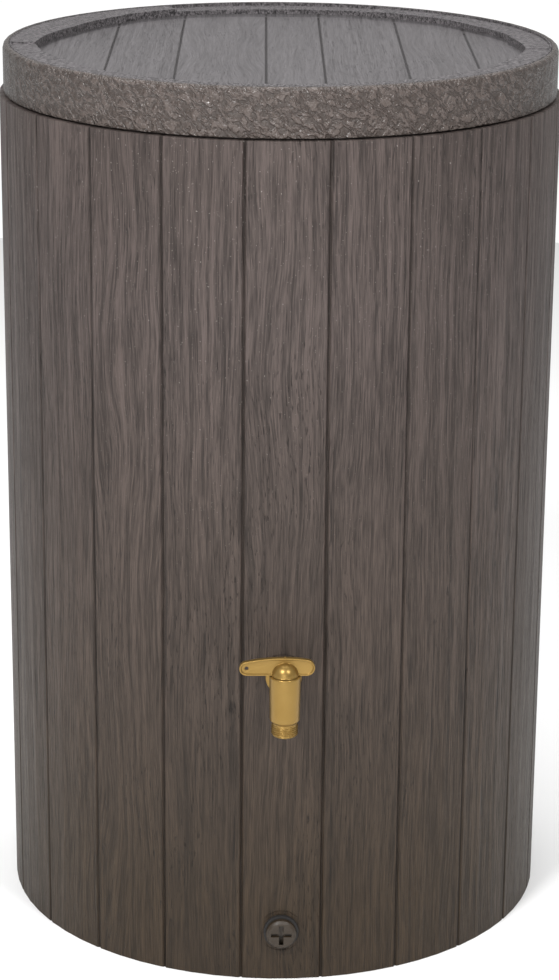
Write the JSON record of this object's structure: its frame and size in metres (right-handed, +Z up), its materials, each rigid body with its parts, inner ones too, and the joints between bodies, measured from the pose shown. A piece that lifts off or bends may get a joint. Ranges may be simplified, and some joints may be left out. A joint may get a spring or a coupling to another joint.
{
  "type": "rain barrel",
  "caption": "Upright round rainwater barrel moulded as a ring of staves, with a lift-off lid, quarter-turn tap, screw-in drain plug and rear hose inlet.",
  "frame": {"origin": "middle of the base, on the floor", "axes": "+Z up along the barrel's centre line; the tap and drain plug face -Y; +X is to the right of someone facing the tap"},
  "size_m": [0.58, 0.6958, 0.925],
  "materials": {
    "stave_brown": "satin, moulded wood grain",
    "lid_brown": "satin, hammered band and grained deck",
    "tap_gold": "satin brass-look",
    "core_black": "smooth",
    "seal_rubber": "matte",
    "spring_steel": "bright",
    "dark_fitting": "satin",
    "plug_brown": "satin"
  },
  "bodies": {
    "barrel": {"barrel_shell": "stave_brown", "tap_body": "tap_gold", "tap_gasket": "seal_rubber", "tap_inner_washer": "seal_rubber", "tap_backnut": "dark_fitting", "core_clip": "spring_steel", "drain_nut": "dark_fitting", "drain_inner_washer": "seal_rubber", "inlet_spigot": "dark_fitting", "inlet_gasket": "seal_rubber", "inlet_inner_washer": "seal_rubber", "inlet_backnut": "dark_fitting"},
    "lid": {"lid": "lid_brown"},
    "tap_turner": {"tap_handle": "tap_gold", "valve_core": "core_black", "core_o_ring_upper": "seal_rubber", "core_o_ring_lower": "seal_rubber"},
    "drain_seal": {"drain_gasket": "seal_rubber"},
    "drain_plug": {"drain_plug": "plug_brown"}
  },
  "joints": [
    {"name": "lid_lift", "type": "slide", "parent": "barrel", "child": "lid", "axis": [0, 0, 1], "range_m": [0, 0.12]},
    {"name": "tap_turn", "type": "hinge", "parent": "barrel", "child": "tap_turner", "pos_m": [0, -0.3452, 0.359], "axis": [0, 0, 1], "range_deg": [0, 90]},
    {"name": "drain_travel", "type": "slide", "parent": "barrel", "child": "drain_seal", "axis": [0, -1, 0], "range_m": [0, 0.0121]},
    {"name": "drain_unscrew", "type": "hinge", "parent": "drain_seal", "child": "drain_plug", "pos_m": [0, -0.2996, 0.055], "axis": [0, -1, 0], "range_deg": [0, 1800]}
  ],
  "couplings": [
    {"joint": "drain_travel", "follows": "drain_unscrew", "m_per_rad": 0.00038197}
  ]
}
